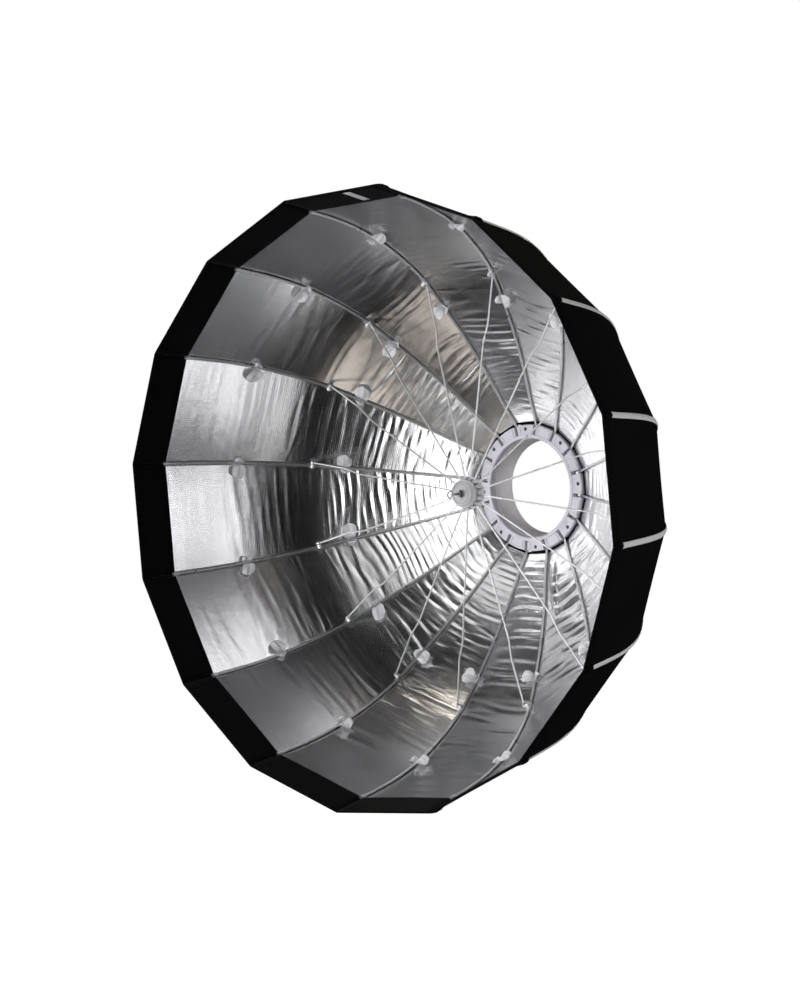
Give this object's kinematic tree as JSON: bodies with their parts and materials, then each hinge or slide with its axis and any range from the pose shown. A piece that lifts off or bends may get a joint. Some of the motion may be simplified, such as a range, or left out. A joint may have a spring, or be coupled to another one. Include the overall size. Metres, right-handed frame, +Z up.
{
  "type": "folding octabox softbox",
  "caption": "Deep many-sided folding softbox: silver-lined black canopy on hinged steel ribs, stretchers to a floating hub, and a bayonet speed ring at the rear.",
  "frame": {"origin": "centre of the mount bore, on the plane of the speed ring's rear flange face", "axes": "+Y runs back along the optical axis, out of the mount bore towards the light head; the mouth faces -Y; +Z is up with one rib straight up; +X is to the right seen from in front looking along +Y"},
  "size_m": [0.7998, 0.406, 0.7998],
  "materials": {
    "ring_dark": "moulded, fine satin texture",
    "ring_light": "moulded light grey, satin",
    "insert": "turned and anodised, satin",
    "hub_light": "moulded light grey, semi-gloss",
    "wire": "bright plated spring steel",
    "screw": "black-zinc socket screws",
    "thumb": "knurled, bright",
    "canopy": "black outer cloth bonded to silver ripstop lining"
  },
  "bodies": {
    "root": {"speed_ring_base": "ring_dark", "speed_ring_cover": "ring_light", "rib_pivot_wire": "wire", "cover_screws": "screw", "mount_insert": "insert", "thumb_screw_1": "thumb", "thumb_screw_2": "thumb", "thumb_screw_3": "thumb"},
    "hub": {"hub_core": "hub_light", "hub_cap": "hub_light", "hub_retaining_wire": "wire"},
    "release_pin": {"release_pin": "wire"},
    "rib_01": {"rib_01": "wire"},
    "stretcher_01": {"stretcher_01": "wire"},
    "gore_01": {"gore_01": "canopy"},
    "rib_02": {"rib_02": "wire"},
    "stretcher_02": {"stretcher_02": "wire"},
    "gore_02": {"gore_02": "canopy"},
    "rib_03": {"rib_03": "wire"},
    "stretcher_03": {"stretcher_03": "wire"},
    "gore_03": {"gore_03": "canopy"},
    "rib_04": {"rib_04": "wire"},
    "stretcher_04": {"stretcher_04": "wire"},
    "gore_04": {"gore_04": "canopy"},
    "rib_05": {"rib_05": "wire"},
    "stretcher_05": {"stretcher_05": "wire"},
    "gore_05": {"gore_05": "canopy"},
    "rib_06": {"rib_06": "wire"},
    "stretcher_06": {"stretcher_06": "wire"},
    "gore_06": {"gore_06": "canopy"},
    "rib_07": {"rib_07": "wire"},
    "stretcher_07": {"stretcher_07": "wire"},
    "gore_07": {"gore_07": "canopy"},
    "rib_08": {"rib_08": "wire"},
    "stretcher_08": {"stretcher_08": "wire"},
    "gore_08": {"gore_08": "canopy"},
    "rib_09": {"rib_09": "wire"},
    "stretcher_09": {"stretcher_09": "wire"},
    "gore_09": {"gore_09": "canopy"},
    "rib_10": {"rib_10": "wire"},
    "stretcher_10": {"stretcher_10": "wire"},
    "gore_10": {"gore_10": "canopy"},
    "rib_11": {"rib_11": "wire"},
    "stretcher_11": {"stretcher_11": "wire"},
    "gore_11": {"gore_11": "canopy"},
    "rib_12": {"rib_12": "wire"},
    "stretcher_12": {"stretcher_12": "wire"},
    "gore_12": {"gore_12": "canopy"},
    "rib_13": {"rib_13": "wire"},
    "stretcher_13": {"stretcher_13": "wire"},
    "gore_13": {"gore_13": "canopy"},
    "rib_14": {"rib_14": "wire"},
    "stretcher_14": {"stretcher_14": "wire"},
    "gore_14": {"gore_14": "canopy"},
    "rib_15": {"rib_15": "wire"},
    "stretcher_15": {"stretcher_15": "wire"},
    "gore_15": {"gore_15": "canopy"},
    "rib_16": {"rib_16": "wire"},
    "stretcher_16": {"stretcher_16": "wire"},
    "gore_16": {"gore_16": "canopy"}
  },
  "joints": [
    {"name": "hub_slide", "type": "slide", "parent": "root", "child": "hub", "axis": [0, -1, 0], "range_m": [0, 0.33993]},
    {"name": "release_pull", "type": "slide", "parent": "hub", "child": "release_pin", "axis": [0, -1, 0], "range_m": [0, 0.005], "stiffness_N_per_m": 400},
    {"name": "rib_hinge_01", "type": "hinge", "parent": "root", "child": "rib_01", "pos_m": [0, -0.024, 0.077], "axis": [1, 0, 0], "range_deg": [0, 44.01]},
    {"name": "stretcher_hinge_01", "type": "hinge", "parent": "hub", "child": "stretcher_01", "pos_m": [0, -0.168, 0.017], "axis": [-1, 0, 0], "range_deg": [0, 60.66]},
    {"name": "gore_hinge_01", "type": "hinge", "parent": "rib_01", "child": "gore_01", "pos_m": [-0.01557, -0.02349, 0.07826], "axis": [-0.1814, 0.3684, 0.9118], "range_deg": [0, 16.77], "deforming": ["gore_01"]},
    {"name": "rib_hinge_02", "type": "hinge", "parent": "root", "child": "rib_02", "pos_m": [-0.02947, -0.024, 0.07114], "axis": [0.9239, 0, 0.3827], "range_deg": [0, 44.01]},
    {"name": "stretcher_hinge_02", "type": "hinge", "parent": "hub", "child": "stretcher_02", "pos_m": [-0.00651, -0.168, 0.01571], "axis": [-0.9239, 0, -0.3827], "range_deg": [0, 60.66]},
    {"name": "gore_hinge_02", "type": "hinge", "parent": "rib_02", "child": "gore_02", "pos_m": [-0.04433, -0.02349, 0.06635], "axis": [-0.5165, 0.3684, 0.773], "range_deg": [0, 16.77], "deforming": ["gore_02"]},
    {"name": "rib_hinge_03", "type": "hinge", "parent": "root", "child": "rib_03", "pos_m": [-0.05445, -0.024, 0.05445], "axis": [0.7071, 0, 0.7071], "range_deg": [0, 44.01]},
    {"name": "stretcher_hinge_03", "type": "hinge", "parent": "hub", "child": "stretcher_03", "pos_m": [-0.01202, -0.168, 0.01202], "axis": [-0.7071, 0, -0.7071], "range_deg": [0, 60.66]},
    {"name": "gore_hinge_03", "type": "hinge", "parent": "rib_03", "child": "gore_03", "pos_m": [-0.06635, -0.02349, 0.04433], "axis": [-0.773, 0.3684, 0.5165], "range_deg": [0, 16.77], "deforming": ["gore_03"]},
    {"name": "rib_hinge_04", "type": "hinge", "parent": "root", "child": "rib_04", "pos_m": [-0.07114, -0.024, 0.02947], "axis": [0.3827, 0, 0.9239], "range_deg": [0, 44.01]},
    {"name": "stretcher_hinge_04", "type": "hinge", "parent": "hub", "child": "stretcher_04", "pos_m": [-0.01571, -0.168, 0.00651], "axis": [-0.3827, 0, -0.9239], "range_deg": [0, 60.66]},
    {"name": "gore_hinge_04", "type": "hinge", "parent": "rib_04", "child": "gore_04", "pos_m": [-0.07826, -0.02349, 0.01557], "axis": [-0.9118, 0.3684, 0.1814], "range_deg": [0, 16.77], "deforming": ["gore_04"]},
    {"name": "rib_hinge_05", "type": "hinge", "parent": "root", "child": "rib_05", "pos_m": [-0.077, -0.024, 0], "axis": [0, 0, 1], "range_deg": [0, 44.01]},
    {"name": "stretcher_hinge_05", "type": "hinge", "parent": "hub", "child": "stretcher_05", "pos_m": [-0.017, -0.168, 0], "axis": [0, 0, -1], "range_deg": [0, 60.66]},
    {"name": "gore_hinge_05", "type": "hinge", "parent": "rib_05", "child": "gore_05", "pos_m": [-0.07826, -0.02349, -0.01557], "axis": [-0.9118, 0.3684, -0.1814], "range_deg": [0, 16.77], "deforming": ["gore_05"]},
    {"name": "rib_hinge_06", "type": "hinge", "parent": "root", "child": "rib_06", "pos_m": [-0.07114, -0.024, -0.02947], "axis": [-0.3827, 0, 0.9239], "range_deg": [0, 44.01]},
    {"name": "stretcher_hinge_06", "type": "hinge", "parent": "hub", "child": "stretcher_06", "pos_m": [-0.01571, -0.168, -0.00651], "axis": [0.3827, 0, -0.9239], "range_deg": [0, 60.66]},
    {"name": "gore_hinge_06", "type": "hinge", "parent": "rib_06", "child": "gore_06", "pos_m": [-0.06635, -0.02349, -0.04433], "axis": [-0.773, 0.3684, -0.5165], "range_deg": [0, 16.77], "deforming": ["gore_06"]},
    {"name": "rib_hinge_07", "type": "hinge", "parent": "root", "child": "rib_07", "pos_m": [-0.05445, -0.024, -0.05445], "axis": [-0.7071, 0, 0.7071], "range_deg": [0, 44.01]},
    {"name": "stretcher_hinge_07", "type": "hinge", "parent": "hub", "child": "stretcher_07", "pos_m": [-0.01202, -0.168, -0.01202], "axis": [0.7071, 0, -0.7071], "range_deg": [0, 60.66]},
    {"name": "gore_hinge_07", "type": "hinge", "parent": "rib_07", "child": "gore_07", "pos_m": [-0.04433, -0.02349, -0.06635], "axis": [-0.5165, 0.3684, -0.773], "range_deg": [0, 16.77], "deforming": ["gore_07"]},
    {"name": "rib_hinge_08", "type": "hinge", "parent": "root", "child": "rib_08", "pos_m": [-0.02947, -0.024, -0.07114], "axis": [-0.9239, 0, 0.3827], "range_deg": [0, 44.01]},
    {"name": "stretcher_hinge_08", "type": "hinge", "parent": "hub", "child": "stretcher_08", "pos_m": [-0.00651, -0.168, -0.01571], "axis": [0.9239, 0, -0.3827], "range_deg": [0, 60.66]},
    {"name": "gore_hinge_08", "type": "hinge", "parent": "rib_08", "child": "gore_08", "pos_m": [-0.01557, -0.02349, -0.07826], "axis": [-0.1814, 0.3684, -0.9118], "range_deg": [0, 16.77], "deforming": ["gore_08"]},
    {"name": "rib_hinge_09", "type": "hinge", "parent": "root", "child": "rib_09", "pos_m": [0, -0.024, -0.077], "axis": [-1, 0, 0], "range_deg": [0, 44.01]},
    {"name": "stretcher_hinge_09", "type": "hinge", "parent": "hub", "child": "stretcher_09", "pos_m": [0, -0.168, -0.017], "axis": [1, 0, 0], "range_deg": [0, 60.66]},
    {"name": "gore_hinge_09", "type": "hinge", "parent": "rib_09", "child": "gore_09", "pos_m": [0.01557, -0.02349, -0.07826], "axis": [0.1814, 0.3684, -0.9118], "range_deg": [0, 16.77], "deforming": ["gore_09"]},
    {"name": "rib_hinge_10", "type": "hinge", "parent": "root", "child": "rib_10", "pos_m": [0.02947, -0.024, -0.07114], "axis": [-0.9239, 0, -0.3827], "range_deg": [0, 44.01]},
    {"name": "stretcher_hinge_10", "type": "hinge", "parent": "hub", "child": "stretcher_10", "pos_m": [0.00651, -0.168, -0.01571], "axis": [0.9239, 0, 0.3827], "range_deg": [0, 60.66]},
    {"name": "gore_hinge_10", "type": "hinge", "parent": "rib_10", "child": "gore_10", "pos_m": [0.04433, -0.02349, -0.06635], "axis": [0.5165, 0.3684, -0.773], "range_deg": [0, 16.77], "deforming": ["gore_10"]},
    {"name": "rib_hinge_11", "type": "hinge", "parent": "root", "child": "rib_11", "pos_m": [0.05445, -0.024, -0.05445], "axis": [-0.7071, 0, -0.7071], "range_deg": [0, 44.01]},
    {"name": "stretcher_hinge_11", "type": "hinge", "parent": "hub", "child": "stretcher_11", "pos_m": [0.01202, -0.168, -0.01202], "axis": [0.7071, 0, 0.7071], "range_deg": [0, 60.66]},
    {"name": "gore_hinge_11", "type": "hinge", "parent": "rib_11", "child": "gore_11", "pos_m": [0.06635, -0.02349, -0.04433], "axis": [0.773, 0.3684, -0.5165], "range_deg": [0, 16.77], "deforming": ["gore_11"]},
    {"name": "rib_hinge_12", "type": "hinge", "parent": "root", "child": "rib_12", "pos_m": [0.07114, -0.024, -0.02947], "axis": [-0.3827, 0, -0.9239], "range_deg": [0, 44.01]},
    {"name": "stretcher_hinge_12", "type": "hinge", "parent": "hub", "child": "stretcher_12", "pos_m": [0.01571, -0.168, -0.00651], "axis": [0.3827, 0, 0.9239], "range_deg": [0, 60.66]},
    {"name": "gore_hinge_12", "type": "hinge", "parent": "rib_12", "child": "gore_12", "pos_m": [0.07826, -0.02349, -0.01557], "axis": [0.9118, 0.3684, -0.1814], "range_deg": [0, 16.77], "deforming": ["gore_12"]},
    {"name": "rib_hinge_13", "type": "hinge", "parent": "root", "child": "rib_13", "pos_m": [0.077, -0.024, 0], "axis": [0, 0, -1], "range_deg": [0, 44.01]},
    {"name": "stretcher_hinge_13", "type": "hinge", "parent": "hub", "child": "stretcher_13", "pos_m": [0.017, -0.168, 0], "axis": [0, 0, 1], "range_deg": [0, 60.66]},
    {"name": "gore_hinge_13", "type": "hinge", "parent": "rib_13", "child": "gore_13", "pos_m": [0.07826, -0.02349, 0.01557], "axis": [0.9118, 0.3684, 0.1814], "range_deg": [0, 16.77], "deforming": ["gore_13"]},
    {"name": "rib_hinge_14", "type": "hinge", "parent": "root", "child": "rib_14", "pos_m": [0.07114, -0.024, 0.02947], "axis": [0.3827, 0, -0.9239], "range_deg": [0, 44.01]},
    {"name": "stretcher_hinge_14", "type": "hinge", "parent": "hub", "child": "stretcher_14", "pos_m": [0.01571, -0.168, 0.00651], "axis": [-0.3827, 0, 0.9239], "range_deg": [0, 60.66]},
    {"name": "gore_hinge_14", "type": "hinge", "parent": "rib_14", "child": "gore_14", "pos_m": [0.06635, -0.02349, 0.04433], "axis": [0.773, 0.3684, 0.5165], "range_deg": [0, 16.77], "deforming": ["gore_14"]},
    {"name": "rib_hinge_15", "type": "hinge", "parent": "root", "child": "rib_15", "pos_m": [0.05445, -0.024, 0.05445], "axis": [0.7071, 0, -0.7071], "range_deg": [0, 44.01]},
    {"name": "stretcher_hinge_15", "type": "hinge", "parent": "hub", "child": "stretcher_15", "pos_m": [0.01202, -0.168, 0.01202], "axis": [-0.7071, 0, 0.7071], "range_deg": [0, 60.66]},
    {"name": "gore_hinge_15", "type": "hinge", "parent": "rib_15", "child": "gore_15", "pos_m": [0.04433, -0.02349, 0.06635], "axis": [0.5165, 0.3684, 0.773], "range_deg": [0, 16.77], "deforming": ["gore_15"]},
    {"name": "rib_hinge_16", "type": "hinge", "parent": "root", "child": "rib_16", "pos_m": [0.02947, -0.024, 0.07114], "axis": [0.9239, 0, -0.3827], "range_deg": [0, 44.01]},
    {"name": "stretcher_hinge_16", "type": "hinge", "parent": "hub", "child": "stretcher_16", "pos_m": [0.00651, -0.168, 0.01571], "axis": [-0.9239, 0, 0.3827], "range_deg": [0, 60.66]},
    {"name": "gore_hinge_16", "type": "hinge", "parent": "rib_16", "child": "gore_16", "pos_m": [0.01557, -0.02349, 0.07826], "axis": [0.1814, 0.3684, 0.9118], "range_deg": [0, 16.77], "deforming": ["gore_16"]}
  ],
  "couplings": [
    {"joint": "rib_hinge_01", "follows": "hub_slide", "rad_per_m": 2.2591},
    {"joint": "stretcher_hinge_01", "follows": "hub_slide", "rad_per_m": 3.114},
    {"joint": "gore_hinge_01", "follows": "hub_slide", "rad_per_m": 0.86074},
    {"joint": "rib_hinge_02", "follows": "hub_slide", "rad_per_m": 2.2591},
    {"joint": "stretcher_hinge_02", "follows": "hub_slide", "rad_per_m": 3.114},
    {"joint": "gore_hinge_02", "follows": "hub_slide", "rad_per_m": 0.86074},
    {"joint": "rib_hinge_03", "follows": "hub_slide", "rad_per_m": 2.2591},
    {"joint": "stretcher_hinge_03", "follows": "hub_slide", "rad_per_m": 3.114},
    {"joint": "gore_hinge_03", "follows": "hub_slide", "rad_per_m": 0.86074},
    {"joint": "rib_hinge_04", "follows": "hub_slide", "rad_per_m": 2.2591},
    {"joint": "stretcher_hinge_04", "follows": "hub_slide", "rad_per_m": 3.114},
    {"joint": "gore_hinge_04", "follows": "hub_slide", "rad_per_m": 0.86074},
    {"joint": "rib_hinge_05", "follows": "hub_slide", "rad_per_m": 2.2591},
    {"joint": "stretcher_hinge_05", "follows": "hub_slide", "rad_per_m": 3.114},
    {"joint": "gore_hinge_05", "follows": "hub_slide", "rad_per_m": 0.86074},
    {"joint": "rib_hinge_06", "follows": "hub_slide", "rad_per_m": 2.2591},
    {"joint": "stretcher_hinge_06", "follows": "hub_slide", "rad_per_m": 3.114},
    {"joint": "gore_hinge_06", "follows": "hub_slide", "rad_per_m": 0.86074},
    {"joint": "rib_hinge_07", "follows": "hub_slide", "rad_per_m": 2.2591},
    {"joint": "stretcher_hinge_07", "follows": "hub_slide", "rad_per_m": 3.114},
    {"joint": "gore_hinge_07", "follows": "hub_slide", "rad_per_m": 0.86074},
    {"joint": "rib_hinge_08", "follows": "hub_slide", "rad_per_m": 2.2591},
    {"joint": "stretcher_hinge_08", "follows": "hub_slide", "rad_per_m": 3.114},
    {"joint": "gore_hinge_08", "follows": "hub_slide", "rad_per_m": 0.86074},
    {"joint": "rib_hinge_09", "follows": "hub_slide", "rad_per_m": 2.2591},
    {"joint": "stretcher_hinge_09", "follows": "hub_slide", "rad_per_m": 3.114},
    {"joint": "gore_hinge_09", "follows": "hub_slide", "rad_per_m": 0.86074},
    {"joint": "rib_hinge_10", "follows": "hub_slide", "rad_per_m": 2.2591},
    {"joint": "stretcher_hinge_10", "follows": "hub_slide", "rad_per_m": 3.114},
    {"joint": "gore_hinge_10", "follows": "hub_slide", "rad_per_m": 0.86074},
    {"joint": "rib_hinge_11", "follows": "hub_slide", "rad_per_m": 2.2591},
    {"joint": "stretcher_hinge_11", "follows": "hub_slide", "rad_per_m": 3.114},
    {"joint": "gore_hinge_11", "follows": "hub_slide", "rad_per_m": 0.86074},
    {"joint": "rib_hinge_12", "follows": "hub_slide", "rad_per_m": 2.2591},
    {"joint": "stretcher_hinge_12", "follows": "hub_slide", "rad_per_m": 3.114},
    {"joint": "gore_hinge_12", "follows": "hub_slide", "rad_per_m": 0.86074},
    {"joint": "rib_hinge_13", "follows": "hub_slide", "rad_per_m": 2.2591},
    {"joint": "stretcher_hinge_13", "follows": "hub_slide", "rad_per_m": 3.114},
    {"joint": "gore_hinge_13", "follows": "hub_slide", "rad_per_m": 0.86074},
    {"joint": "rib_hinge_14", "follows": "hub_slide", "rad_per_m": 2.2591},
    {"joint": "stretcher_hinge_14", "follows": "hub_slide", "rad_per_m": 3.114},
    {"joint": "gore_hinge_14", "follows": "hub_slide", "rad_per_m": 0.86074},
    {"joint": "rib_hinge_15", "follows": "hub_slide", "rad_per_m": 2.2591},
    {"joint": "stretcher_hinge_15", "follows": "hub_slide", "rad_per_m": 3.114},
    {"joint": "gore_hinge_15", "follows": "hub_slide", "rad_per_m": 0.86074},
    {"joint": "rib_hinge_16", "follows": "hub_slide", "rad_per_m": 2.2591},
    {"joint": "stretcher_hinge_16", "follows": "hub_slide", "rad_per_m": 3.114},
    {"joint": "gore_hinge_16", "follows": "hub_slide", "rad_per_m": 0.86074}
  ]
}
